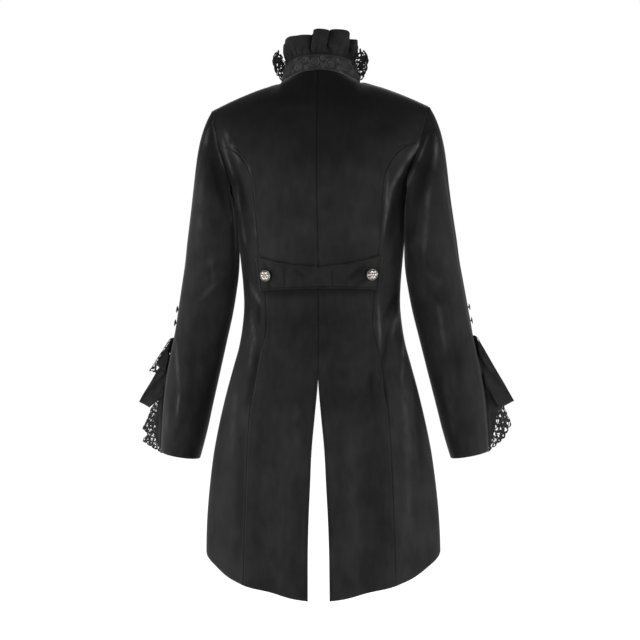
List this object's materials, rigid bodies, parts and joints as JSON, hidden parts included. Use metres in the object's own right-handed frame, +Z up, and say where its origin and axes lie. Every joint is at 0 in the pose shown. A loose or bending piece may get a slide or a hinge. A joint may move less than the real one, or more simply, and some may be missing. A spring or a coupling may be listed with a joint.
{
  "type": "tailcoat",
  "caption": "Fitted velvet tailcoat with cut-away fronts, split tails, a ruffled stand collar, a half belt and slit cuffs that spill lace ruffles.",
  "frame": {"origin": "centre of the neck, level with the inner ends of the shoulder seams, where the wearer's neck and shoulders hold the coat", "axes": "+Z up, +Y the way the wearer faces, +X to the wearer's right, so the back faces -Y"},
  "size_m": [0.6769, 0.2704, 0.9834],
  "materials": {
    "velvet": "soft black velvet with a short nap",
    "brocade": "black brocade with a grey leaf scroll",
    "ruffle_cloth": "soft black pleated cloth",
    "lace": "black corded lace",
    "metal": "antique silver, cast relief"
  },
  "bodies": {
    "root": {"back_left": "velvet", "back_right": "velvet", "belt_button_left": "metal", "belt_button_right": "metal", "collar_band": "brocade", "collar_lace_left": "lace", "collar_lace_right": "lace", "collar_ruffle": "ruffle_cloth", "cuff_button_1_left": "metal", "cuff_button_1_right": "metal", "cuff_button_2_left": "metal", "cuff_button_2_right": "metal", "cuff_lace_lower_left": "lace", "cuff_lace_lower_right": "lace", "cuff_lace_upper_left": "lace", "cuff_lace_upper_right": "lace", "cuff_ruffle_lower_left": "ruffle_cloth", "cuff_ruffle_lower_right": "ruffle_cloth", "cuff_ruffle_middle_left": "ruffle_cloth", "cuff_ruffle_middle_right": "ruffle_cloth", "cuff_ruffle_upper_left": "ruffle_cloth", "cuff_ruffle_upper_right": "ruffle_cloth", "front_button_1": "metal", "front_button_2": "metal", "front_button_3": "metal", "front_button_4": "metal", "front_button_5": "metal", "front_left": "velvet", "front_right": "velvet", "half_belt": "velvet", "side_back_left": "velvet", "side_back_right": "velvet", "side_front_left": "velvet", "side_front_right": "velvet", "sleeve_back_left": "velvet", "sleeve_back_right": "velvet", "sleeve_front_left": "velvet", "sleeve_front_right": "velvet"}
  },
  "joints": []
}
